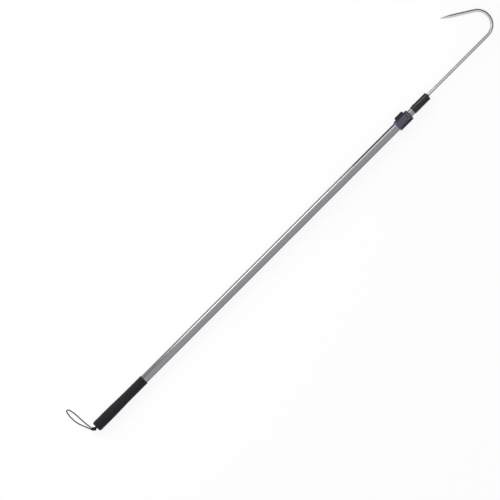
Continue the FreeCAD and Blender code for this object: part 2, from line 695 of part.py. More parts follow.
def makeLockPlate():
    """Steel plate round the inner tube; its lower edge bites while the springs lift it."""
    body = newBody("lock_plate")
    sketch = newSketch(body, "PlateProfile", "YZ_Plane", "Sizes.plateStart")
    reach = worth("Sizes.plateRadius")
    side = worth("Sizes.plateHalfWidth")
    shift = worth("Sizes.collarShift")
    travel = worth("Sizes.buttonTravel")
    tab = worth("Sizes.tabHalfWidth")
    tabTop = worth("Sizes.tabTop")
    upper = -shift
    lower = travel - shift
    sideHigh = upper + math.sqrt(reach ** 2 - side ** 2)
    sideLow = lower - math.sqrt(reach ** 2 - side ** 2)
    tabLow = upper + math.sqrt(reach ** 2 - tab ** 2)
    between = (side + tab) / 2
    arcHigh = upper + math.sqrt(reach ** 2 - between ** 2)
    hole = worth("Sizes.plateHoleRadius")
    rise = worth("Sizes.plateHoleRise")
    sketch.addGeometry([
        Part.LineSegment(Vector(sideLow, side, 0), Vector(sideHigh, side, 0)),
        Part.Arc(Vector(sideHigh, side, 0), Vector(arcHigh, between, 0), Vector(tabLow, tab, 0)),
        Part.LineSegment(Vector(tabLow, tab, 0), Vector(tabTop, tab, 0)),
        Part.LineSegment(Vector(tabTop, tab, 0), Vector(tabTop, -tab, 0)),
        Part.LineSegment(Vector(tabTop, -tab, 0), Vector(tabLow, -tab, 0)),
        Part.Arc(Vector(tabLow, -tab, 0), Vector(arcHigh, -between, 0),
                 Vector(sideHigh, -side, 0)),
        Part.LineSegment(Vector(sideHigh, -side, 0), Vector(sideLow, -side, 0)),
        Part.Arc(Vector(sideLow, -side, 0), Vector(lower - reach, 0, 0),
                 Vector(sideLow, side, 0)),
        Part.Arc(Vector(0, hole, 0), Vector(-hole, 0, 0), Vector(0, -hole, 0)),
        Part.LineSegment(Vector(0, -hole, 0), Vector(rise, -hole, 0)),
        Part.Arc(Vector(rise, -hole, 0), Vector(rise + hole, 0, 0), Vector(rise, hole, 0)),
        Part.LineSegment(Vector(rise, hole, 0), Vector(0, hole, 0)),
    ], False)
    drawOut(body, "Plate", sketch, "Sizes.plateThickness", False)
    for name, place in tabPinPlaces():
        drill(body, "PlatePinHole" + name, place, alongX, "Sizes.tabPinRadius",
              "Sizes.tabPinLength")
    return body


def makeButtonPins():
    pins = [rod("ButtonPin" + name, place, alongX, "Sizes.tabPinRadius", "Sizes.tabPinLength")
            for name, place in tabPinPlaces()]
    return fused("button_pins", pins)


def springLine():
    """A coil spring's centre line, standing up from the spring's base on its own Z axis."""
    coil = worth("Sizes.springCoilRadius")
    rise = worth("Sizes.springLength - 2 * Sizes.springWireRadius")
    quarters = 4 * int(worth("Sizes.springTurns"))
    climb = rise / quarters
    slope = climb / (coil * math.pi / 2)
    edges = []
    for i in range(quarters):
        ends = []
        for step in (i, i + 1):
            angle = math.pi / 2 * step
            place = Vector(coil * math.cos(angle), coil * math.sin(angle), climb * step)
            heading = Vector(-math.sin(angle), math.cos(angle), slope).normalize()
            ends.append((place, heading))
        edges += biarc(*ends)
    return Part.Wire(edges)


def biarc(first, second):
    """Two arcs that join two places smoothly, each end along its own heading."""
    start, outward = first
    end, inward = second
    span = end - start
    both = outward + inward
    square = both.dot(both) - 4
    half = span.dot(both)
    reach = (half - math.sqrt(half ** 2 - square * span.dot(span))) / square
    corners = [start + outward * reach, end - inward * reach]
    joint = (corners[0] + corners[1]) * 0.5
    arcs = []
    for low, corner, high in ((start, corners[0], joint), (joint, corners[1], end)):
        chordMid = (low + high) * 0.5
        sag = corner - chordMid
        chord = (high - low).Length / 2
        # an arc's middle is half its end angle's tangent away from its chord
        rise = chord * math.tan(math.atan2(sag.Length, chord) / 2)
        arcs.append(Part.Arc(low, chordMid + sag.normalize() * rise, high).toShape())
    return arcs


def makeLockSprings():
    """Two small compression springs between the housing's sleeve and the button."""
    coils = []
    radius = worth("Sizes.springWireRadius")
    for name in ("Rear", "Front"):
        line = springLine()
        heading = line.Edges[0].tangentAt(line.Edges[0].FirstParameter)
        section = Part.Wire([Part.Circle(line.Edges[0].firstVertex().Point, heading,
                                         radius).toShape()])
        coil = doc.addObject("Part::Feature", "SpringCoil" + name)
        coil.Shape = line.makePipeShell([section], True, False)
        coil.Placement.Rotation = Rotation(Vector(1, 0, 0), -90)
        coil.setExpression("Placement.Base.x", "Sizes.spring%sPlace" % name)
        coil.setExpression("Placement.Base.y", "Sizes.springBase + Sizes.springWireRadius")
        coils.append(coil)
        print("spring: volume %.2f of %.2f mm3"
              % (coil.Shape.Volume, math.pi * radius ** 2 * line.Length))
    group = doc.addObject("Part::Compound", "lock_springs")
    group.Links = coils
    return group


def makeInnerTube():
    body = newBody("inner_tube")
    turned(body, "InnerTubeWall", "Sizes.innerStart", "Sizes.innerEnd", "Sizes.innerBore",
           "Sizes.innerRadius")
    half = "Sizes.grooveWidth / 2"
    floor = "-(Sizes.innerRadius - Sizes.grooveDepth)"
    under = "-(Sizes.innerRadius + 1)"
    slab(body, "InnerTubeGroove", [("-" + half, under), (half, under), (half, floor),
                                   ("-" + half, floor)], "Sizes.innerStart",
         "Sizes.innerEnd", cut=True)
    drill(body, "InnerTubePinHole", ("Sizes.innerStart + Sizes.tailSpigot / 2",
                                     "-Sizes.outerRadius", "0"), alongY,
          "Sizes.tailPinRadius", "2 * Sizes.outerRadius")
    drill(body, "InnerTubeRivetHole", ("Sizes.rivetPlace", "0", "0"), alongY,
          "Sizes.rivetRadius", "Sizes.outerRadius")
    return body


def makeTailBush():
    body = newBody("tail_bush")
    turned(body, "TailHead", "Sizes.innerStart - Sizes.tailLength", "Sizes.innerStart",
           "Sizes.tailVent", "Sizes.outerBore - Sizes.slideGap")
    turned(body, "TailSpigot", "Sizes.innerStart", "Sizes.innerStart + Sizes.tailSpigot",
           "Sizes.tailVent", "Sizes.innerBore")
    drill(body, "TailPinHole", ("Sizes.innerStart + Sizes.tailSpigot / 2",
                                "-Sizes.outerRadius", "0"), alongY, "Sizes.tailPinRadius",
          "2 * Sizes.outerRadius")
    return body


def makeTailPin():
    body = newBody("tail_pin")
    bar = body.newObject("PartDesign::AdditiveCylinder", "TailPinBar")
    bar.setExpression("Radius", "Sizes.tailPinRadius")
    bar.setExpression("Height", "2 * Sizes.innerRadius - 2 * Sizes.pinInset")
    bar.Placement = Placement(Vector(0, 0, 0), Rotation(Vector(0, 0, 1), alongY))
    bar.setExpression("Placement.Base.x", "Sizes.innerStart + Sizes.tailSpigot / 2")
    bar.setExpression("Placement.Base.y", "Sizes.pinInset - Sizes.innerRadius")
    return body


def makeHookPlug():
    """Plug in the inner tube's end, bored off centre for the hook's shank."""
    body = newBody("hook_plug")
    turned(body, "HookPlugBar", "Sizes.hookPlugStart", "Sizes.innerEnd", "0",
           "Sizes.innerBore")
    disc(body, "HookPlugNose", "Sizes.rodOffset", "Sizes.noseRadius", "Sizes.innerEnd",
         "Sizes.noseEnd")
    disc(body, "HookPlugBore", "Sizes.rodOffset", "Sizes.rodRadius", "Sizes.rodStart",
         "Sizes.noseEnd", cut=True)
    drill(body, "HookPlugRivetHole", ("Sizes.rivetPlace", "Sizes.rodOffset", "0"), alongY,
          "Sizes.rivetRadius", "Sizes.outerRadius")
    return body


def makeHook():
    """Bent stainless rod: shank, bend and arm by one pipe, then a ground point."""
    body = newBody("hook")
    startX = worth("Sizes.rodStart")
    bendX = worth("Sizes.bendStart")
    offset = worth("Sizes.rodOffset")
    radius = worth("Sizes.bendRadius")
    angle = math.radians(worth("Sizes.bendAngle"))
    arm = worth("Sizes.armLength")
    centre = Vector(bendX, offset + radius, 0)
    bendStart = Vector(bendX, offset, 0)
    bendMid = centre + Vector(math.sin(angle / 2), -math.cos(angle / 2), 0) * radius
    bendEnd = centre + Vector(math.sin(angle), -math.cos(angle), 0) * radius
    heading = Vector(math.cos(angle), math.sin(angle), 0)
    armEnd = bendEnd + heading * arm
    path = newSketch(body, "HookPath", "XY_Plane")
    path.addGeometry([
        Part.LineSegment(Vector(startX, offset, 0), bendStart),
        Part.Arc(bendStart, bendMid, bendEnd),
        Part.LineSegment(bendEnd, armEnd),
    ], False)
    path.addConstraint(Sketcher.Constraint("Horizontal", 0))
    path.addConstraint(Sketcher.Constraint("Tangent", 0, 2, 1, 1))
    path.addConstraint(Sketcher.Constraint("Tangent", 1, 2, 2, 1))
    bind(path, "DistanceX", 0, 1, "Sizes.rodStart")
    bind(path, "DistanceY", 0, 1, "Sizes.rodOffset")
    bind(path, "DistanceX", 0, 2, "Sizes.bendStart")
    for kind, geometry, expression in (("Radius", 1, "Sizes.bendRadius"),
                                       ("Distance", 2, "Sizes.armLength")):
        index = path.addConstraint(Sketcher.Constraint(kind, geometry, worth(expression)))
        path.setExpression("Constraints[%d]" % index, expression)
    index = path.addConstraint(Sketcher.Constraint("Angle", 2, angle))
    path.setExpression("Constraints[%d]" % index, "Sizes.bendAngle * 1deg")
    section = newSketch(body, "HookSection", "YZ_Plane", "Sizes.rodStart")
    section.addGeometry(Part.Circle(Vector(offset, 0, 0), Vector(0, 0, 1),
                                    worth("Sizes.rodRadius")))
    section.addConstraint(Sketcher.Constraint("PointOnObject", 0, 3, -1))
    bind(section, "DistanceX", 0, 3, "Sizes.rodOffset")
    index = section.addConstraint(Sketcher.Constraint("Radius", 0, worth("Sizes.rodRadius")))
    section.setExpression("Constraints[%d]" % index, "Sizes.rodRadius")
    pipe = body.newObject("PartDesign::AdditivePipe", "HookRod")
    pipe.Profile = section
    pipe.Spine = (path, ["Edge1", "Edge2", "Edge3"])
    # the point is turned about the arm: a slightly bulged cone that ends in a small round tip
    point = newSketch(body, "HookPointProfile", "XY_Plane")
    point.AttachmentOffset = Placement(armEnd, Rotation(Vector(0, 0, 1), math.degrees(angle)))
    thick = worth("Sizes.rodRadius")
    thin = worth("Sizes.pointTipRadius")
    length = worth("Sizes.pointLength")
    bulge = Vector(length / 2, (thick + thin) / 2 + worth("Sizes.pointBulge"), 0)
    back = -2.0
    point.addGeometry([
        Part.LineSegment(Vector(back, 0, 0), Vector(length + thin, 0, 0)),
        Part.Arc(Vector(length + thin, 0, 0),
                 Vector(length + thin * math.sqrt(0.5), thin * math.sqrt(0.5), 0),
                 Vector(length, thin, 0)),
        Part.Arc(Vector(length, thin, 0), bulge, Vector(0, thick, 0)),
        Part.LineSegment(Vector(0, thick, 0), Vector(back, thick, 0)),
        Part.LineSegment(Vector(back, thick, 0), Vector(back, 0, 0)),
    ], False)
    grind = body.newObject("PartDesign::Revolution", "HookPoint")
    grind.Profile = point
    grind.ReferenceAxis = (point, ["H_Axis"])
    grind.Angle = 360
    drill(body, "HookRivetHole", ("Sizes.rivetPlace", "Sizes.rodOffset", "0"), alongY,
          "Sizes.rivetRadius", "Sizes.outerRadius")
    return body


def makeHookSleeve():
    body = newBody("hook_sleeve")
    turned(body, "SleeveBar", "Sizes.sleeveStart", "Sizes.sleeveEnd", "0",
           "Sizes.sleeveRadius")
    ends = [worth("Sizes.sleeveStart"), worth("Sizes.sleeveEnd")]

    def endEdge(edge):
        return any(atPlace(end, 1.0)(edge) for end in ends)
    roundEdges(body, "SleeveRound", "Sizes.sleeveRound", endEdge)
    turned(body, "SleeveBore", "Sizes.sleeveStart", "Sizes.innerEnd", "0",
           "Sizes.innerRadius", cut=True)
    disc(body, "SleeveNoseHole", "Sizes.rodOffset", "Sizes.noseRadius", "Sizes.innerEnd",
         "Sizes.sleeveEnd", cut=True)
    drill(body, "SleeveRivetHole", ("Sizes.rivetPlace", "0", "0"), alongY,
          "Sizes.rivetRadius", "2 * Sizes.sleeveRadius")
    return body


def makeHookRivet():
    """Domed rivet through sleeve, tube and plug into the hook's shank."""
    shank = rod("RivetShank", ("Sizes.rivetPlace", "Sizes.rodOffset", "0"), alongY,
                "Sizes.rivetRadius", "Sizes.sleeveRadius - Sizes.rodOffset")
    high = "Sizes.rivetHeadHeight"
    ball = "((Sizes.rivetHeadRadius ^ 2 + %s ^ 2) / (2 * %s))" % (high, high)
    dome = doc.addObject("Part::Sphere", "RivetDome")
    dome.setExpression("Radius", ball)
    dome.setExpression("Placement.Base.x", "Sizes.rivetPlace")
    dome.setExpression("Placement.Base.y", "Sizes.sleeveRadius + %s - %s" % (high, ball))
    sleeve = rod("RivetSeat", ("Sizes.sleeveStart", "0", "0"), alongX, "Sizes.sleeveRadius",
                 "Sizes.sleeveEnd - Sizes.sleeveStart")
    head = doc.addObject("Part::Cut", "RivetHead")
    head.Base = dome
    head.Tool = sleeve
    return fused("hook_rivet", [shank, head])


# Wrist strap, in its own frame: X and Y as on the pole from the butt's centre, Z up from the floor

cordRoute = [
    (0.3, 1.7, 14.1), (-3.2, 1.7, 14.1), (-6.8, 1.9, 11.2), (-9.4, 4.0, 7.2),
    (-11.0, 8.6, 3.8), (-11.9, 15.4, 2.0), (-12.9, 24.6, 1.7), (-13.9, 36.0, 1.7),
    (-14.3, 47.6, 1.7), (-14.9, 58.4, 1.7), (-15.8, 67.2, 1.7), (-17.3, 75.0, 1.7),
    (-19.0, 80.0, 1.7), (-21.2, 83.0, 1.7), (-24.6, 83.0, 1.7), (-26.8, 79.6, 1.7),
    (-28.1, 73.4, 1.7), (-28.9, 64.6, 1.7), (-28.9, 55.4, 1.7), (-28.0, 46.2, 1.7),
    (-26.0, 37.2, 1.7), (-22.9, 28.4, 1.7), (-19.2, 19.8, 1.7), (-16.1, 12.2, 2.3),
    (-13.7, 5.8, 5.0), (-10.6, 1.2, 8.4), (-6.9, -1.3, 11.8), (-3.2, -1.7, 14.1),
    (0.3, -1.7, 14.1),
]
knotLobes = {"Butt": (-5.4, -0.4, 11.3), "Loop": (-9.9, 3.4, 6.8)}


def makeStrapCord():
    """Cord that leaves the butt, runs round the loop and goes back in beside itself."""
    points = [Vector(*place) for place in cordRoute]
    radius = worth("Sizes.cordDiameter / 2")
    edges = []
    bends = []
    last = points[0]
    for before, corner, after in zip(points, points[1:], points[2:]):
        inward = (corner - before).normalize()
        outward = (after - corner).normalize()
        turn = inward.getAngle(outward)
        run = min(before.distanceToPoint(corner), corner.distanceToPoint(after))
        bends.append(0.45 * run / math.tan(turn / 2))
        first = corner - inward * (0.45 * run)
        second = corner + outward * (0.45 * run)
        # the middle of an arc lies between its corner and the middle of its chord
        chordMid = (first + second) * 0.5
        sag = bends[-1] / math.cos(turn / 2) - bends[-1]
        middle = corner + (chordMid - corner).normalize() * sag
        edges.append(Part.LineSegment(last, first).toShape())
        edges.append(Part.Arc(first, middle, second).toShape())
        last = second
    edges.append(Part.LineSegment(last, points[-1]).toShape())
    path = Part.Wire(edges)
    heading = (points[1] - points[0]).normalize()
    section = Part.Wire([Part.Circle(points[0], heading, radius).toShape()])
    cord = doc.addObject("Part::Feature", "strap_cord")
    cord.Label = "strap_cord"
    cord.Shape = path.makePipeShell([section], True, False)
    print("strap cord: length %.1f mm, bend radii %s"
          % (path.Length, " ".join("%.1f" % bend for bend in bends)))
    print("strap cord: volume %.0f of %.0f mm3"
          % (cord.Shape.Volume, math.pi * radius ** 2 * path.Length))
    return cord


def makeStrapKnot():
    """Overhand knot that ties the strap's legs together: two lobes turned about one line."""
    body = newBody("strap_knot")
    butt = Vector(*knotLobes["Butt"])
    span = Vector(*knotLobes["Loop"]) - butt
    apart = span.Length
    large = worth("Sizes.knotButtRadius")
    small = worth("Sizes.knotLoopRadius")
    neck = (apart ** 2 + large ** 2 - small ** 2) / (2 * apart)
    start = Vector(-large, 0, 0)
    meet = Vector(neck, math.sqrt(large ** 2 - neck ** 2), 0)
    end = Vector(apart + small, 0, 0)
    sketch = newSketch(body, "KnotProfile", "XY_Plane")
    sketch.AttachmentOffset = Placement(butt, Rotation(Vector(1, 0, 0), span))
    sketch.addGeometry([
        Part.Arc(start, Vector(0, large, 0), meet),
        Part.Arc(meet, Vector(apart, small, 0), end),
        Part.LineSegment(end, start),
    ], False)
    lobes = body.newObject("PartDesign::Revolution", "KnotLobes")
    lobes.Profile = sketch
    lobes.ReferenceAxis = (sketch, ["H_Axis"])
    lobes.Angle = 360
    return body


gaffPieces = [
    makeOuterTube(), makeGrip(), makeButtPlug(), makeStrapWasher(), makeStrapStopper(),
    makeMouthBush(), makeCollarHousing(), makeCollarCap(), makeWiperRing(), makeCapScrews(),
    makeCollarScrews(), makeLockButton(), makeLockPlate(), makeButtonPins(), makeLockSprings(),
    makeInnerTube(), makeTailBush(), makeTailPin(), makeHookPlug(), makeHook(),
    makeHookSleeve(), makeHookRivet(),
]
strapPieces = [makeStrapCord(), makeStrapKnot()]
doc.recompute()

# Lay the gaff down: roll it, lift it onto the floor and centre its box over the origin
roll = Placement(Vector(0, 0, 0), Rotation(Vector(1, 0, 0), -worth("Sizes.rollAngle")))
axisHeight = worth("Sizes.gripButtRadius")
rolled = Part.makeCompound([piece.Shape.transformed(roll.toMatrix()) for piece in gaffPieces])
extent = rolled.optimalBoundingBox()
centring = Vector(-extent.Center.x, -extent.Center.y, 0)
for piece in gaffPieces:
    piece.Placement = Placement(centring + Vector(0, 0, axisHeight), roll.Rotation)
for piece in strapPieces:
    piece.Placement = Placement(centring, Rotation())
doc.recompute()
print("pole axis at Y %.3f, butt at X %.3f, lowest point %.3f mm"
      % (centring.y, centring.x, extent.ZMin + axisHeight))

# Nothing is written unless every object is sound
for item in doc.Objects:
    if "Invalid" in item.State or "Error" in item.State:
        raise RuntimeError("%s failed: %s" % (item.Label, item.State))
for piece in gaffPieces + strapPieces:
    if piece.Shape.isNull() or not piece.Shape.isValid():
        raise RuntimeError("%s has no sound shape" % piece.Label)

os.makedirs("parts", exist_ok=True)
for piece in gaffPieces + strapPieces:
    piece.Shape.exportStep("parts/%s.step" % piece.Label)
    print("%-16s %2d solids %10.1f mm3" % (piece.Label, len(piece.Shape.Solids),
                                          piece.Shape.Volume))
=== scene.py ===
import bpy
import bmesh
import json
import math
from mathutils import Matrix, Vector, noise


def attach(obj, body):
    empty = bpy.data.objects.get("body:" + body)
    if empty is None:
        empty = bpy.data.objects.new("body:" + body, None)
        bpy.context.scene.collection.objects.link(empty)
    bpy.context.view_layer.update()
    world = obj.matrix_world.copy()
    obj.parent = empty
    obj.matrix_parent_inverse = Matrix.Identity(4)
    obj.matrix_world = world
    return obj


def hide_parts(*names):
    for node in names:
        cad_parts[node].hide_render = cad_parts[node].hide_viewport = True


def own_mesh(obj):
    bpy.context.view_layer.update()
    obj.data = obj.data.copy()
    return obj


# Telescopic fishing gaff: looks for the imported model, all in metres
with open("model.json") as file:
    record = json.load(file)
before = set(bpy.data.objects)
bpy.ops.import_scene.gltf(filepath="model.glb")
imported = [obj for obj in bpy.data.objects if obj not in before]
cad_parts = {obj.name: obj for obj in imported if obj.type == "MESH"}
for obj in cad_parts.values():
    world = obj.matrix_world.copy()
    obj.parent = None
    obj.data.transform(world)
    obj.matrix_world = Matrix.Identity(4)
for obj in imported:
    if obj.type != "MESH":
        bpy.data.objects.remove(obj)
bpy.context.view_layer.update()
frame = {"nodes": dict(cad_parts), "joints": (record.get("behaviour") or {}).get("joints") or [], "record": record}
mm = 0.001
weld = 1e-7  # points closer than this are one point

# The pole's own frame: X from the butt to the hook, Y to the side of hook and button
joints = {joint["name"]: joint for joint in frame["joints"]}
mounts = {mount["name"]: mount for mount in frame["record"]["mounts"]}
gripMiddle = 86 * mm  # the grip's mount is this far from the butt
towardsHook = Vector((1, 0, 0))
buttonSide = -Vector(joints["button_press"]["axis"]).normalized()
upFromFloor = towardsHook.cross(buttonSide)
butt = Vector(mounts["grip_rest"]["pos_m"]) - towardsHook * gripMiddle
poleFrame = Matrix.Translation(butt) @ Matrix((towardsHook, buttonSide, upFromFloor)).transposed().to_4x4()


# Camera, straight above, with the pole across the picture from lower left to upper right
camera = {
    "pixel": 2.54 * mm,       # size of one pixel of the 500 px picture at the pole
    "pictureWidth": 500,
    "alongPole": 594.4 * mm,  # the picture's centre, from the butt's centre
    "acrossPole": 42.3 * mm,
    "height": 12.0,
    "sensor": 36.0,
    "turn": -45,
}


def setCamera():
    data = bpy.data.cameras.new("overheadCamera")
    data.sensor_width = camera["sensor"]
    width = camera["pixel"] * camera["pictureWidth"]
    data.lens = camera["sensor"] * (camera["height"] - butt.z) / width
    overhead = bpy.data.objects.new("overheadCamera", data)
    overhead.location = (butt.x + camera["alongPole"], butt.y + camera["acrossPole"], camera["height"])
    overhead.rotation_euler = (0, 0, math.radians(camera["turn"]))
    bpy.context.scene.collection.objects.link(overhead)
    bpy.context.scene.camera = overhead


# Materials
def linear(hexColour):
    parts = [int(hexColour[i:i + 2], 16) / 255 for i in (0, 2, 4)]
    return tuple(c / 12.92 if c <= 0.04045 else ((c + 0.055) / 1.055) ** 2.4 for c in parts) + (1.0,)


def addNode(tree, kind, sockets=None, **settings):
    node = tree.nodes.new(kind)
    for name, value in settings.items():
        setattr(node, name, value)
    for name, value in (sockets or {}).items():
        if isinstance(value, bpy.types.NodeSocket):
            tree.links.new(value, node.inputs[name])
        else:
            node.inputs[name].default_value = value
    return node


def newMaterial(name):
    material = bpy.data.materials.new(name)
    material.use_nodes = True
    tree = material.node_tree
    tree.nodes.clear()
    shader = addNode(tree, "ShaderNodeBsdfPrincipled")
    addNode(tree, "ShaderNodeOutputMaterial", {"Surface": shader.outputs["BSDF"]})
    place = addNode(tree, "ShaderNodeTexCoord").outputs["Object"]
    return material, tree, shader, place


def ramp(tree, value, fromLow, fromHigh, toLow, toHigh):
    return addNode(tree, "ShaderNodeMapRange", {
        "Value": value, "From Min": fromLow, "From Max": fromHigh, "To Min": toLow, "To Max": toHigh,
    }).outputs["Result"]


def blendColours(tree, factor, first, second):
    # each of the two is a hex colour or another node's colour
    mix = addNode(tree, "ShaderNodeMix", data_type="RGBA")
    tree.links.new(factor, mix.inputs["Factor"])
    for name, colour in (("A", first), ("B", second)):
        if isinstance(colour, str):
            mix.inputs[name].default_value = linear(colour)
        else:
            tree.links.new(colour, mix.inputs[name])
    return mix.outputs["Result"]


def anodisedAluminium(name, finish):
    # extruded, then dyed grey: satin, with faint die lines along the pole
    material, tree, shader, place = newMaterial(name)
    dieLines = addNode(tree, "ShaderNodeMapping", {"Vector": place, "Scale": finish["lineScale"]})
    lines = addNode(tree, "ShaderNodeTexNoise", {
        "Vector": dieLines.outputs["Vector"], "Scale": 1.0, "Detail": 3.0, "Roughness": 0.6}).outputs["Fac"]
    cloud = addNode(tree, "ShaderNodeTexNoise", {
        "Vector": place, "Scale": finish["cloudScale"], "Detail": 4.0}).outputs["Fac"]
    tree.links.new(blendColours(tree, lines, finish["dark"], finish["light"]), shader.inputs["Base Color"])
    tree.links.new(ramp(tree, cloud, 0.3, 0.7, *finish["roughness"]), shader.inputs["Roughness"])
    shader.inputs["Metallic"].default_value = 1.0
    shader.inputs["Specular Tint"].default_value = linear(finish["edge"])
    bump = addNode(tree, "ShaderNodeBump", {"Height": lines, "Strength": finish["lineStrength"],
                                            "Distance": finish["lineDepth"]})
    tree.links.new(bump.outputs["Normal"], shader.inputs["Normal"])
    return material


plasticWearAndShade = {
    "grooveReach": 2.6 * mm,  # how near other walls are where the colour is painted darker as painted shade and the surface made dull
    "grooveRoughness": 0.95,
    "edgeReach": 0.5 * mm,
    "edgeAmount": 0.6,
}


def grainedPlastic(name, finish):
    # moulded in a tool with a fine spark-eroded grain: satin where it is rubbed, made dull and painted darker down
    # in its grooves as painted shade, and a little lighter along worn edges
    material, tree, shader, place = newMaterial(name)
    grain = addNode(tree, "ShaderNodeTexNoise", {
        "Vector": place, "Scale": 1 / finish["grainSize"], "Detail": 2.0}).outputs["Fac"]
    cloud = addNode(tree, "ShaderNodeTexNoise", {
        "Vector": place, "Scale": 1 / finish["cloudSize"], "Detail": 3.0}).outputs["Fac"]
    # painted shade: where other walls are near, the colour is blended towards the groove shade colour and the
    # roughness is raised
    openness = addNode(tree, "ShaderNodeAmbientOcclusion", {"Distance": plasticWearAndShade["grooveReach"]},
                       samples=8).outputs["AO"]
    solidness = addNode(tree, "ShaderNodeAmbientOcclusion", {"Distance": plasticWearAndShade["edgeReach"]},
                        samples=8, inside=True, only_local=True).outputs["AO"]
    groove = ramp(tree, openness, 0.7, 0.4, 0.0, 1.0)
    worn = ramp(tree, solidness, 0.9, 0.5, 0.0, plasticWearAndShade["edgeAmount"])
    plain = blendColours(tree, cloud, finish["dark"], finish["light"])
    rubbed = blendColours(tree, worn, plain, finish["worn"])
    # painted shade laid into the grooves and recesses over the plain and worn colour
    tree.links.new(blendColours(tree, groove, rubbed, finish["groove"]), shader.inputs["Base Color"])
    satin = ramp(tree, cloud, 0.3, 0.7, *finish["roughness"])
    roughness = ramp(tree, groove, 0.0, 1.0, satin, plasticWearAndShade["grooveRoughness"])
    tree.links.new(roughness, shader.inputs["Roughness"])
    shader.inputs["IOR"].default_value = finish["ior"]
    shader.inputs["Specular IOR Level"].default_value = finish["shine"]
    bump = addNode(tree, "ShaderNodeBump", {"Height": grain, "Strength": finish["grainStrength"],
                                            "Distance": finish["grainDepth"]})
    tree.links.new(bump.outputs["Normal"], shader.inputs["Normal"])
    return material


# each plastic's groove shade colour is painted shade for its grooves and recesses; its worn colour is real wear
# along edges
finishes = {
    "outerPole": {"dark": "88888F", "light": "929299", "edge": "707076", "lineScale": (4.0, 1600.0, 1600.0),
                  "cloudScale": 40.0, "roughness": (0.15, 0.20), "lineStrength": 0.25,
                  "lineDepth": 0.02 * mm},
    "innerPole": {"dark": "88888F", "light": "929299", "edge": "606066", "lineScale": (4.0, 1600.0, 1600.0),
                  "cloudScale": 40.0, "roughness": (0.14, 0.19), "lineStrength": 0.25,
                  "lineDepth": 0.02 * mm},
    "collar": {
        "dark": "242434", "light": "2B2B3E", "worn": "3E3E48", "groove": "08080A",
        "grainSize": 0.35 * mm, "cloudSize": 12 * mm, "roughness": (0.28, 0.36), "ior": 1.53,
        "grainStrength": 0.4, "grainDepth": 0.03 * mm, "shine": 0.75,
    },
    "button": {
        "dark": "141417", "light": "1B1B1F", "worn": "2C2C31", "groove": "08080A",
        "grainSize": 0.35 * mm, "cloudSize": 9 * mm, "roughness": (0.45, 0.55), "ior": 1.53,
        "grainStrength": 0.4, "grainDepth": 0.03 * mm, "shine": 0.30,
    },
    "sleeve": {
        "dark": "151517", "light": "1C1C1F", "worn": "2A2A2D", "groove": "0A0A0B",
        "grainSize": 0.5 * mm, "cloudSize": 15 * mm, "roughness": (0.18, 0.24), "ior": 1.5,
        "grainStrength": 0.15, "grainDepth": 0.02 * mm, "shine": 0.30,
    },
    "buttPlug": {
        "dark": "141416", "light": "1B1B1E", "worn": "28282B", "groove": "0A0A0B",
        "grainSize": 0.4 * mm, "cloudSize": 8 * mm, "roughness": (0.45, 0.6), "ior": 1.5,
        "grainStrength": 0.3, "grainDepth": 0.03 * mm, "shine": 0.35,
    },
    "bush": {
        "dark": "D6D3C6", "light": "E2DFD3", "worn": "E8E6DC", "groove": "9A978A",
        "grainSize": 0.4 * mm, "cloudSize": 8 * mm, "roughness": (0.4, 0.5), "ior": 1.53,
        "grainStrength": 0.2, "grainDepth": 0.02 * mm, "shine": 0.50,
    },
    "wiper": {
        "dark": "17171A", "light": "202023", "worn": "2A2A2D", "groove": "0A0A0B",
        "grainSize": 0.3 * mm, "cloudSize": 6 * mm, "roughness": (0.55, 0.7), "ior": 1.52,
        "grainStrength": 0.2, "grainDepth": 0.02 * mm, "shine": 0.30,
    },
}


def drawnStainless(name, finish):
    # cold drawn and polished rod: bright, a little warm, with fine draw lines along it
    material, tree, shader, place = newMaterial(name)
    drawLines = addNode(tree, "ShaderNodeMapping", {"Vector": place, "Scale": finish["lineScale"]})
    lines = addNode(tree, "ShaderNodeTexNoise", {
        "Vector": drawLines.outputs["Vector"], "Scale": 1.0, "Detail": 2.0}).outputs["Fac"]
    cloud = addNode(tree, "ShaderNodeTexNoise", {
        "Vector": place, "Scale": 1 / finish["cloudSize"], "Detail": 4.0}).outputs["Fac"]
    tree.links.new(blendColours(tree, cloud, finish["dark"], finish["light"]), shader.inputs["Base Color"])
    tree.links.new(ramp(tree, cloud, 0.3, 0.7, *finish["roughness"]), shader.inputs["Roughness"])
    shader.inputs["Metallic"].default_value = 1.0
    shader.inputs["Specular Tint"].default_value = linear(finish["edge"])
    bump = addNode(tree, "ShaderNodeBump", {"Height": lines, "Strength": finish["lineStrength"],
                                            "Distance": finish["lineDepth"]})
    tree.links.new(bump.outputs["Normal"], shader.inputs["Normal"])
    return material


steelFinishes = {
    "hookSteel": {"dark": "C4C2BE", "light": "D0CECA", "edge": "141414", "lineScale": (30.0, 2500.0, 2500.0),
                  "cloudSize": 14 * mm, "roughness": (0.14, 0.22), "lineStrength": 0.1,
                  "lineDepth": 0.01 * mm},
    "smallSteel": {"dark": "8F8F90", "light": "9E9E9E", "edge": "606060", "lineScale": (900.0, 900.0, 900.0),
                   "cloudSize": 3 * mm, "roughness": (0.25, 0.35), "lineStrength": 0.1,
                   "lineDepth": 0.01 * mm},
    "blackSteel": {"dark": "1D1D1F", "light": "28282A", "edge": "303030", "lineScale": (900.0, 900.0, 900.0),
                   "cloudSize": 2 * mm, "roughness": (0.30, 0.42), "lineStrength": 0.1,
                   "lineDepth": 0.01 * mm},
}


foamFinish = {
    "dark": "15141A", "light": "1E1D24", "cellSize": 0.9 * mm, "cloudSize": 7 * mm, "roughness": 0.9,
    "shine": 0.25, "sheen": 0.03, "cellStrength": 0.5, "cellDepth": 0.12 * mm,
}


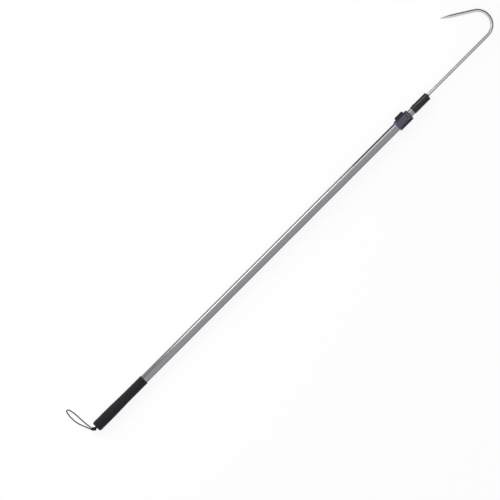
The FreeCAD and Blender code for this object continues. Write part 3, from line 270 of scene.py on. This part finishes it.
def groundFoam(name):
    # closed-cell foam, ground round on a lathe: matt, with cut cells a fraction of a millimetre wide
    material, tree, shader, place = newMaterial(name)
    cells = addNode(tree, "ShaderNodeTexVoronoi", {
        "Vector": place, "Scale": 1 / foamFinish["cellSize"]}).outputs["Distance"]
    cloud = addNode(tree, "ShaderNodeTexNoise", {
        "Vector": place, "Scale": 1 / foamFinish["cloudSize"], "Detail": 5.0}).outputs["Fac"]
    colour = blendColours(tree, cloud, foamFinish["dark"], foamFinish["light"])
    tree.links.new(colour, shader.inputs["Base Color"])
    shader.inputs["Roughness"].default_value = foamFinish["roughness"]
    shader.inputs["Specular IOR Level"].default_value = foamFinish["shine"]
    shader.inputs["Sheen Weight"].default_value = foamFinish["sheen"]
    bump = addNode(tree, "ShaderNodeBump", {"Height": cells, "Strength": foamFinish["cellStrength"],
                                            "Distance": foamFinish["cellDepth"]})
    tree.links.new(bump.outputs["Normal"], shader.inputs["Normal"])
    return material


cordFinish = {
    "dark": "09090A", "light": "141416", "fibreSize": 0.25 * mm, "roughness": 0.75, "shine": 0.3,
    "sheen": 0.06, "fibreStrength": 0.5, "fibreDepth": 0.05 * mm,
}


def braidedPolyester(name):
    # fine twisted yarns in each strand give a matt black with a slight sheen
    material, tree, shader, place = newMaterial(name)
    fibres = addNode(tree, "ShaderNodeTexNoise", {
        "Vector": place, "Scale": 1 / cordFinish["fibreSize"], "Detail": 3.0}).outputs["Fac"]
    colour = blendColours(tree, fibres, cordFinish["dark"], cordFinish["light"])
    tree.links.new(colour, shader.inputs["Base Color"])
    shader.inputs["Roughness"].default_value = cordFinish["roughness"]
    shader.inputs["Specular IOR Level"].default_value = cordFinish["shine"]
    shader.inputs["Sheen Weight"].default_value = cordFinish["sheen"]
    bump = addNode(tree, "ShaderNodeBump", {"Height": fibres, "Strength": cordFinish["fibreStrength"],
                                            "Distance": cordFinish["fibreDepth"]})
    tree.links.new(bump.outputs["Normal"], shader.inputs["Normal"])
    return material


floorFinish = {"colour": "E8E8E8", "glow": 0.85}


def whiteFloor(name):
    # matt white sheet; its own light for the camera, for gloss and for glass lifts it to the picture's white
    material, tree, shader, place = newMaterial(name)
    shader.inputs["Base Color"].default_value = linear(floorFinish["colour"])
    shader.inputs["Roughness"].default_value = 1.0
    shader.inputs["Specular IOR Level"].default_value = 0.0
    rays = addNode(tree, "ShaderNodeLightPath").outputs
    seen = addNode(tree, "ShaderNodeMath", {0: rays["Is Camera Ray"], 1: rays["Is Glossy Ray"]},
                   operation="MAXIMUM")
    seenToo = addNode(tree, "ShaderNodeMath", {0: seen.outputs["Value"], 1: rays["Is Transmission Ray"]},
                      operation="MAXIMUM")
    share = addNode(tree, "ShaderNodeMath", {0: seenToo.outputs["Value"], 1: floorFinish["glow"]},
                    operation="MULTIPLY")
    glow = addNode(tree, "ShaderNodeEmission", {"Color": (1, 1, 1, 1), "Strength": 1.0})
    mix = addNode(tree, "ShaderNodeMixShader", {"Fac": share.outputs["Value"]})
    tree.links.new(shader.outputs["BSDF"], mix.inputs[1])
    tree.links.new(glow.outputs["Emission"], mix.inputs[2])
    output = [node for node in tree.nodes if node.type == "OUTPUT_MATERIAL"][0]
    tree.links.new(mix.outputs["Shader"], output.inputs["Surface"])
    return material


# Light: a pale tent with a dark gap low all round, and soft boxes on the side that the hook points to
studio = {
    "floorSize": 60.0,
    "tentTop": 1.0,
    "gap": 0.75,
    "gapHeight": 7,    # degrees above the floor
}
softBoxes = {
    "keyBox": {"start": 0.27, "end": 0.89, "low": 9, "high": 31, "distance": 0.9, "brightness": 4.75,
               "gloss": True},
    "sideBox": {"start": 0.88, "end": 1.22, "low": 24, "high": 44, "distance": 1.0, "brightness": 2.2,
                "gloss": True},
    "sleeveBox": {"start": 1.165, "end": 1.205, "low": 26, "high": 42, "distance": 0.25, "brightness": 10.0,
                  "gloss": True},
    "gripBox": {"start": -0.20, "end": 0.26, "low": 10, "high": 50, "distance": 0.8, "brightness": 4.2,
                "gloss": False},
}
# cards that only gloss sees; each stands on a line between two places of the pole's own frame
glossCards = {
    "gripCard": {"ends": ((-0.15, 0.35), (0.23, 0.35)), "height": 0.90, "colour": "CCCCCC"},
    "tubeCard": {"ends": ((0.93, 0.022), (1.080, 0.022)), "height": 0.024, "colour": "C2C2C2"},
    "collarCard": {"ends": ((1.086, 0.030), (1.122, 0.030)), "height": 0.039, "colour": "262626"},
    "collarFarCard": {"ends": ((1.122, -0.030), (1.086, -0.030)), "height": 0.034, "colour": "262626"},
    "sleeveCard": {"ends": ((1.138, 0.020), (1.190, 0.020)), "height": 0.021, "colour": "262626"},
    "bendCard": {"ends": ((1.30, 0.09), (1.30, 0.24)), "height": 0.11, "colour": "A8A8A8"},
    "shankCard": {"ends": ((1.20, 0.50), (1.50, 0.50)), "height": 0.38, "colour": "262626"},
    "pointCard": {"ends": ((1.46, 0.45), (1.95, 0.10)), "height": 1.30, "colour": "262626"},
    "endCard": {"ends": ((1.95, 0.10), (1.80, -0.50)), "height": 1.00, "colour": "262626"},
    "farCard": {"ends": ((1.80, -0.50), (1.19, -0.50)), "height": 0.46, "colour": "262626"},
}


def setStudio():
    world = bpy.data.worlds.new("studioTent")
    world.use_nodes = True
    tree = world.node_tree
    tree.nodes.clear()
    direction = addNode(tree, "ShaderNodeTexCoord").outputs["Generated"]
    height = addNode(tree, "ShaderNodeSeparateXYZ", {"Vector": direction}).outputs["Z"]
    edge = math.sin(math.radians(studio["gapHeight"]))
    level = ramp(tree, height, edge, 2 * edge, studio["gap"], studio["tentTop"])
    background = addNode(tree, "ShaderNodeBackground", {"Color": (1, 1, 1, 1), "Strength": level})
    addNode(tree, "ShaderNodeOutputWorld", {"Surface": background.outputs["Background"]})
    bpy.context.scene.world = world

    for name, box in softBoxes.items():
        rises = [math.radians(box["low"]), math.radians(box["high"])]
        data = bpy.data.lights.new(name, "AREA")
        data.shape = "RECTANGLE"
        data.size = box["end"] - box["start"]
        data.size_y = 2 * box["distance"] * math.tan((rises[1] - rises[0]) / 2)
        data.energy = box["brightness"] * math.pi * data.size * data.size_y
        lamp = bpy.data.objects.new(name, data)
        lamp.visible_glossy = box["gloss"]
        rise = sum(rises) / 2
        target = butt + towardsHook * (box["start"] + box["end"]) / 2
        lamp.location = target + Vector((0, math.cos(rise), math.sin(rise))) * box["distance"]
        lamp.rotation_euler = (target - lamp.location).to_track_quat("-Z", "Y").to_euler()
        bpy.context.scene.collection.objects.link(lamp)

    for name, card in glossCards.items():
        paint, tree, shader, place = newMaterial(name)
        shader.inputs["Base Color"].default_value = linear(card["colour"])
        shader.inputs["Roughness"].default_value = 1.0
        foot, end = [butt + Vector((*place, -butt.z)) for place in card["ends"]]
        run = end - foot
        bm = bmesh.new()
        bmesh.ops.create_grid(bm, x_segments=1, y_segments=1, size=0.5)
        bmesh.ops.scale(bm, verts=bm.verts, vec=(run.length, card["height"], 1))
        bmesh.ops.rotate(bm, verts=bm.verts, matrix=Matrix.Rotation(math.pi / 2, 3, "X"))
        bmesh.ops.rotate(bm, verts=bm.verts, matrix=Matrix.Rotation(math.atan2(run.y, run.x), 3, "Z"))
        bmesh.ops.translate(bm, verts=bm.verts, vec=(foot + end) / 2 + Vector((0, 0, card["height"] / 2)))
        mesh = bpy.data.meshes.new(name)
        bm.to_mesh(mesh)
        bm.free()
        mesh.materials.append(paint)
        stand = bpy.data.objects.new(name, mesh)
        stand.visible_camera = False
        stand.visible_diffuse = False
        stand.visible_shadow = False
        bpy.context.scene.collection.objects.link(stand)

    bm = bmesh.new()
    bmesh.ops.create_grid(bm, x_segments=1, y_segments=1, size=studio["floorSize"] / 2)
    mesh = bpy.data.meshes.new("floorSheet")
    bm.to_mesh(mesh)
    bm.free()
    floor = bpy.data.objects.new("floorSheet", mesh)
    mesh.materials.append(whiteFloor("whitePaper"))
    bpy.context.scene.collection.objects.link(floor)


setCamera()
setStudio()
print("camera and light are set")


# Pieces
def finishPiece(bm, name, body, material, sharp=35):
    # takes the mesh from the pole's frame to its real place, and lets it ride
    bm.transform(poleFrame)
    mesh = bpy.data.meshes.new(name)
    bm.to_mesh(mesh)
    bm.free()
    mesh.shade_smooth()
    mesh.set_sharp_from_angle(angle=math.radians(sharp))
    piece = bpy.data.objects.new(name, mesh)
    mesh.materials.append(material)
    bpy.context.scene.collection.objects.link(piece)
    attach(piece, body)
    return piece


def turnProfile(bm, profile, steps):
    # profile: points (along, out) in metres, turned once round the pole's axis
    verts = [bm.verts.new((along, out, 0)) for along, out in profile]
    edges = [bm.edges.new(pair) for pair in zip(verts, verts[1:])]
    bmesh.ops.spin(bm, geom=verts + edges, cent=(0, 0, 0), axis=(1, 0, 0), angle=2 * math.pi,
                   steps=steps, use_merge=True)
    bmesh.ops.remove_doubles(bm, verts=bm.verts, dist=weld)
    bmesh.ops.recalc_face_normals(bm, faces=bm.faces)


foamGrip = {
    "length": 172 * mm,
    "bore": 11 * mm,
    "front": 12.8 * mm,
    "butt": 14.1 * mm,
    "flareStart": 46 * mm,
    "flareEnd": 118 * mm,
    "buttCorner": 4.8 * mm,
    "frontCorner": 1.6 * mm,
    "rings": 86,
    "steps": 72,
    "waver": 0.10 * mm,       # the grinding is not quite true
    "waverSize": 16 * mm,
    "pits": 0.03 * mm,
    "pitSize": 1.6 * mm,
    "cornerSteps": 8,
    "boreWall": 0.5 * mm,     # what lies this near the bore stays true
}


def makeFoamGrip(material):
    g = foamGrip

    def outside(along):
        share = min(max((along - g["flareStart"]) / (g["flareEnd"] - g["flareStart"]), 0), 1)
        bend = share * share * (3 - 2 * share)
        return g["butt"] + (g["front"] - g["butt"]) * bend

    profile = []
    lipAngle = math.acos((g["bore"] - g["butt"] + g["buttCorner"]) / g["buttCorner"])
    cornerSteps = g["cornerSteps"]
    for i in range(cornerSteps + 1):
        angle = lipAngle * (1 - i / cornerSteps)
        profile.append((g["buttCorner"] * (1 - math.sin(angle)),
                        g["butt"] - g["buttCorner"] * (1 - math.cos(angle))))
    straight = g["length"] - g["frontCorner"] - g["buttCorner"]
    for i in range(1, g["rings"]):
        along = g["buttCorner"] + straight * i / g["rings"]
        profile.append((along, outside(along)))
    for i in range(cornerSteps + 1):
        angle = math.pi / 2 * i / cornerSteps
        profile.append((g["length"] - g["frontCorner"] * (1 - math.sin(angle)),
                        g["front"] - g["frontCorner"] * (1 - math.cos(angle))))
    profile.append((g["length"], g["bore"]))
    profile.append((profile[0][0], g["bore"]))
    bm = bmesh.new()
    turnProfile(bm, profile, g["steps"])
    for vert in bm.verts:
        out = math.hypot(vert.co.y, vert.co.z)
        if out > g["bore"] + g["boreWall"]:
            lift = g["waver"] * noise.noise(vert.co / g["waverSize"]) + g["pits"] * (
                noise.noise(vert.co / g["pitSize"]) - 0.5)
            scale = 1 + lift / out
            vert.co.y *= scale
            vert.co.z *= scale
    grip = finishPiece(bm, "foamGrip", "handle", material, sharp=60)
    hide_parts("grip")
    return grip


# Wrist strap: the cord's route, X and Y from the butt's centre, Z up from the floor
cordRoute = [
    (0.0003, 0.0017, 0.0141), (-0.0032, 0.0017, 0.0141), (-0.0068, 0.0019, 0.0112),
    (-0.0094, 0.0040, 0.0072), (-0.0110, 0.0086, 0.0038), (-0.0119, 0.0154, 0.0020),
    (-0.0129, 0.0246, 0.0017), (-0.0139, 0.0360, 0.0017), (-0.0143, 0.0476, 0.0017),
    (-0.0149, 0.0584, 0.0017), (-0.0158, 0.0672, 0.0017), (-0.0173, 0.0750, 0.0017),
    (-0.0190, 0.0800, 0.0017), (-0.0212, 0.0830, 0.0017), (-0.0246, 0.0830, 0.0017),
    (-0.0268, 0.0796, 0.0017), (-0.0281, 0.0734, 0.0017), (-0.0289, 0.0646, 0.0017),
    (-0.0289, 0.0554, 0.0017), (-0.0280, 0.0462, 0.0017), (-0.0260, 0.0372, 0.0017),
    (-0.0229, 0.0284, 0.0017), (-0.0192, 0.0198, 0.0017), (-0.0161, 0.0122, 0.0023),
    (-0.0137, 0.0058, 0.0050), (-0.0106, 0.0012, 0.0084), (-0.0069, -0.0013, 0.0118),
    (-0.0032, -0.0017, 0.0141), (0.0003, -0.0017, 0.0141),
]

strap = {
    "diameter": 3.2 * mm,     # between crests and valleys of the braid
    "radius": 1.7 * mm,
    "strands": 8,
    "strandRadius": 0.50 * mm,
    "lap": 0.16 * mm,         # how far a strand rises and dips as it crosses the others
    "lay": 11 * mm,           # length of one turn of a strand
    "pointsPerTurn": 16,
    "coreRadius": 1.25 * mm,
}


def cordLine(name, points):
    # the smooth line through a route, as points close together
    curve = bpy.data.curves.new(name, "CURVE")
    curve.dimensions = "3D"
    curve.resolution_u = 12
    spline = curve.splines.new("NURBS")
    spline.points.add(len(points) - 1)
    for point, place in zip(spline.points, points):
        point.co = (*place, 1)
    spline.order_u = 3
    spline.use_endpoint_u = True
    holder = bpy.data.objects.new(name, curve)
    line = bpy.data.meshes.new_from_object(holder)
    found = [v.co.copy() for v in line.vertices]
    bpy.data.objects.remove(holder)
    bpy.data.meshes.remove(line)
    return found


def evenly(points, gap):
    # the same line with points a steady distance apart
    total = sum((b - a).length for a, b in zip(points, points[1:]))
    count = max(2, round(total / gap))
    placed = [points[0].copy()]
    walked = 0.0
    for a, b in zip(points, points[1:]):
        run = (b - a).length
        while len(placed) < count and walked + run >= total * len(placed) / count - 1e-12:
            placed.append(a.lerp(b, (total * len(placed) / count - walked) / run))
        walked += run
    placed.append(points[-1].copy())
    return placed, total


def carriedFrames(points):
    # a frame at each point that turns no more than the line does
    frames = []
    ahead = (points[1] - points[0]).normalized()
    side = ahead.orthogonal().normalized()
    for i in range(len(points)):
        before = points[max(i - 1, 0)]
        after = points[min(i + 1, len(points) - 1)]
        heading = (after - before).normalized()
        side = ahead.rotation_difference(heading) @ side
        side = (side - heading * side.dot(heading)).normalized()
        ahead = heading
        frames.append((side.copy(), heading.cross(side)))
    return frames


def braid(name, line, material):
    # counter-wound strands over a core, along a line
    points, total = evenly(line, strap["lay"] / strap["pointsPerTurn"])
    frames = carriedFrames(points)
    curve = bpy.data.curves.new(name, "CURVE")
    curve.dimensions = "3D"
    curve.bevel_depth = strap["strandRadius"]
    curve.bevel_resolution = 2
    curve.use_fill_caps = True
    reach = strap["radius"] - strap["strandRadius"] - strap["lap"]
    half = strap["strands"] // 2
    for i in range(strap["strands"]):
        spin = 1 if i < half else -1
        start = 2 * math.pi * (i % half) / half
        spline = curve.splines.new("POLY")
        spline.points.add(len(points) - 1)
        for k, (point, (side, up)) in enumerate(zip(points, frames)):
            turn = 2 * math.pi * total * k / (len(points) - 1) / strap["lay"]
            angle = start + spin * turn
            # strands of one hand rise where those of the other dip, once for each crossing
            wave = spin * math.cos(half * turn + (math.pi if i % 2 else 0))
            out = reach + strap["lap"] * wave
            spline.points[k].co = (*(point + (side * math.cos(angle) + up * math.sin(angle)) * out), 1)
    core = bpy.data.curves.new(name + "Core", "CURVE")
    core.dimensions = "3D"
    core.bevel_depth = strap["coreRadius"]
    core.bevel_resolution = 3
    core.use_fill_caps = True
    spline = core.splines.new("POLY")
    spline.points.add(len(points) - 1)
    for k, point in enumerate(points):
        spline.points[k].co = (*point, 1)
    bm = bmesh.new()
    for part in (curve, core):
        holder = bpy.data.objects.new(name + "Part", part)
        mesh = bpy.data.meshes.new_from_object(holder)
        bm.from_mesh(mesh)
        bpy.data.objects.remove(holder)
        bpy.data.meshes.remove(mesh)
        bpy.data.curves.remove(part)
    mesh = bpy.data.meshes.new(name)
    bm.to_mesh(mesh)
    bm.free()
    mesh.shade_smooth()
    mesh.materials.clear()
    mesh.materials.append(material)
    piece = bpy.data.objects.new(name, mesh)
    bpy.context.scene.collection.objects.link(piece)
    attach(piece, "handle")
    return piece, total


knot = {
    "lobes": ((-5.4 * mm, -0.4 * mm, 11.3 * mm), (-9.9 * mm, 3.4 * mm, 6.8 * mm)),
    "wrapRadii": (3.4 * mm, 2.9 * mm),
    "overhang": 3.2 * mm,     # how far the wraps reach past the middles of the lobes
    "turns": 4.0,
    "pointsPerTurn": 8,
    "tuck": 1.0 * mm,
    "tuckLength": 1.5 * mm,
    "uneven": 0.1,
}


def makeStrapKnot(material):
    # the doubled cord wrapped round its own legs, both ends of the wrap tucked in
    first, last = [Vector(place) for place in knot["lobes"]]
    axis = (last - first).normalized()
    start = first - axis * knot["overhang"]
    span = (last - first).length + 2 * knot["overhang"]
    side = axis.orthogonal().normalized()
    up = axis.cross(side)
    steps = int(knot["turns"] * knot["pointsPerTurn"])
    route = [start + axis * knot["tuckLength"] + side * knot["tuck"]]
    for i in range(steps + 1):
        share = i / steps
        angle = 2 * math.pi * knot["turns"] * share
        wide = knot["wrapRadii"][0] * (1 - share) + knot["wrapRadii"][1] * share
        out = wide * (1 + knot["uneven"] * math.sin(2 * angle + 1.0))
        route.append(start + axis * span * share + (side * math.cos(angle) + up * math.sin(angle)) * out)
    route.append(start + axis * (span - knot["tuckLength"]) - side * knot["tuck"])
    offset = Vector((butt.x, butt.y, 0))
    piece = braid("strapKnot", cordLine("knotLine", [p + offset for p in route]), material)[0]
    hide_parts("strap_knot")
    return piece


def makeStrapCord(material):
    offset = Vector((butt.x, butt.y, 0))
    line = cordLine("strapLine", [Vector(place) + offset for place in cordRoute])
    piece, length = braid("strapCord", line, material)
    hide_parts("strap_cord")
    print("strap cord: %.1f mm" % (length / mm))
    return piece


stopper = {
    "holeStart": 0.3 * mm,
    "knotMiddle": 18.5 * mm,
    "knotRadius": 3.3 * mm,
    "turns": 2.2,
    "pointsPerTurn": 8,
    "knotLength": 5.0 * mm,
    "legOffset": 1.7 * mm,
    "legPlaces": (8 * mm, 14 * mm),
}


def makeStopper(material):
    # both ends of the strap inside the plug, with the knot that holds them behind the washer
    legs = (stopper["holeStart"], *stopper["legPlaces"])
    route = [Vector((along, stopper["legOffset"], 0)) for along in legs]
    steps = int(stopper["turns"] * stopper["pointsPerTurn"])
    for i in range(steps + 1):
        share = i / steps
        angle = 2 * math.pi * stopper["turns"] * share
        along = stopper["knotMiddle"] + (share - 0.5) * stopper["knotLength"]
        out = stopper["knotRadius"]
        route.append(Vector((along, out * math.cos(angle), out * math.sin(angle))))
    route += [Vector((along, -stopper["legOffset"], 0)) for along in reversed(legs)]
    piece = braid("strapEnds", cordLine("endsLine", [poleFrame @ p for p in route]), material)[0]
    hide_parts("strap_stopper")
    return piece


spring = {
    "places": (1092.6 * mm, 1099.4 * mm),
    "base": 12.0 * mm,
    "length": 5.1 * mm,
    "coilRadius": 2.0 * mm,
    "wireRadius": 0.25 * mm,
    "turns": 4.0,
    "stepsPerTurn": 24,
    "wireSteps": 10,
    "travel": 1.8 * mm,
}


def makeLockSprings(material):
    bm = bmesh.new()
    rise = spring["length"] - 2 * spring["wireRadius"]
    steps = spring["turns"] * spring["stepsPerTurn"]
    for place in spring["places"]:
        ring = bmesh.ops.create_circle(bm, segments=spring["wireSteps"],
                                       radius=spring["wireRadius"])["verts"]
        middle = Vector((place, spring["base"] + spring["wireRadius"], 0))
        bmesh.ops.translate(bm, verts=ring, vec=middle + Vector((spring["coilRadius"], 0, 0)))
        edges = list({edge for vert in ring for edge in vert.link_edges})
        bmesh.ops.spin(bm, geom=ring + edges, cent=middle, axis=(0, 1, 0), use_merge=False,
                       dvec=(0, rise / steps, 0), angle=2 * math.pi * spring["turns"], steps=int(steps))
    bmesh.ops.holes_fill(bm, edges=bm.edges)
    bmesh.ops.recalc_face_normals(bm, faces=bm.faces)
    piece = finishPiece(bm, "springCoils", "handle", material, sharp=50)
    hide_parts("lock_springs")
    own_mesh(piece)
    return piece


screws = {
    "capScrews": {
        "node": "cap_screws", "head": 1.3 * mm, "rise": 0.8 * mm, "shank": 0.9 * mm, "socket": 0.65 * mm,
        "depth": 0.5 * mm, "place": 1114.8 * mm, "centre": -0.9 * mm,
        "seats": ((28, 13.9 * mm, 11.8 * mm), (208, 13.9 * mm, 11.8 * mm)),
    },
    "collarScrews": {
        "node": "collar_screws", "head": 2.7 * mm, "rise": 1.2 * mm, "shank": 1.5 * mm, "socket": 1.35 * mm,
        "depth": 0.8 * mm, "place": 1086.0 * mm, "centre": 0.0,
        "seats": ((180, 12.07 * mm, 9.6 * mm), (90, 14.2 * mm, 9.6 * mm)),
    },
}


screwSteps = 24
screwRounding = 0.3  # share of the head's height


def makeScrews(name, screw, material):
    # button heads with rounded rims and hexagon sockets; a seat gives the angle from up and how far out
    # the head's underside and the shank's end are
    bm = bmesh.new()
    soft = screwRounding * screw["rise"]
    for angle, seat, low in screw["seats"]:
        top = seat + screw["rise"]
        part = bmesh.new()
        profile = [(low, 0), (low, screw["shank"]), (seat, screw["shank"]), (seat, screw["head"]),
                   (top - soft, screw["head"]), (top - 0.3 * soft, screw["head"] - 0.3 * soft),
                   (top, screw["head"] - soft), (top, screw["socket"]),
                   (top - screw["depth"], screw["socket"]), (top - screw["depth"], 0)]
        turnProfile(part, profile, screwSteps)
        for vert in part.verts:
            out = math.hypot(vert.co.y, vert.co.z)
            if vert.co.x > top - screw["depth"] - 1e-6 and out > 1e-6 and out < screw["socket"] + 1e-6:
                turn = math.atan2(vert.co.z, vert.co.y) % (math.pi / 3) - math.pi / 6
                share = math.cos(math.pi / 6) / math.cos(turn)
                vert.co.y *= share
                vert.co.z *= share
        # the screw was turned about X: stand it up, lean it over and bring it to its place
        part.transform(Matrix.Translation((screw["place"], screw["centre"], 0))
                       @ Matrix.Rotation(math.radians(angle), 4, "X") @ Matrix.Rotation(-math.pi / 2, 4, "Y"))
        mesh = bpy.data.meshes.new(name + "Part")
        part.to_mesh(mesh)
        part.free()
        bm.from_mesh(mesh)
        bpy.data.meshes.remove(mesh)
    piece = finishPiece(bm, name, "handle", material, sharp=30)
    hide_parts(screw["node"])
    return piece


materials = {name: grainedPlastic(name, finish) if "grainSize" in finish else anodisedAluminium(name, finish)
             for name, finish in finishes.items()}
for name, finish in steelFinishes.items():
    materials[name] = drawnStainless(name, finish)
materials["foam"] = groundFoam("groundFoam")
materials["cord"] = braidedPolyester("braidedPolyester")
print("materials are made")

nodeFinish = {
    "outer_tube": "outerPole", "inner_tube": "innerPole", "butt_plug": "buttPlug",
    "strap_washer": "smallSteel", "mouth_bush": "bush", "collar_housing": "collar",
    "collar_cap": "collar", "wiper_ring": "wiper", "lock_button": "button", "lock_plate": "smallSteel",
    "button_pins": "smallSteel", "tail_bush": "bush", "tail_pin": "smallSteel",
    "hook_plug": "buttPlug", "hook": "hookSteel", "hook_sleeve": "sleeve", "hook_rivet": "blackSteel",
}
for node, finish in nodeFinish.items():
    data = frame["nodes"][node].data
    data.materials.clear()
    data.materials.append(materials[finish])

makeFoamGrip(materials["foam"])
knotPiece = makeStrapKnot(materials["cord"])
makeStrapCord(materials["cord"])
makeStopper(materials["cord"])
makeLockSprings(materials["smallSteel"])
for name, screw in screws.items():
    makeScrews(name, screw, materials["smallSteel"])
print("pieces are made")

bpy.context.scene.view_settings.view_transform = "Standard"
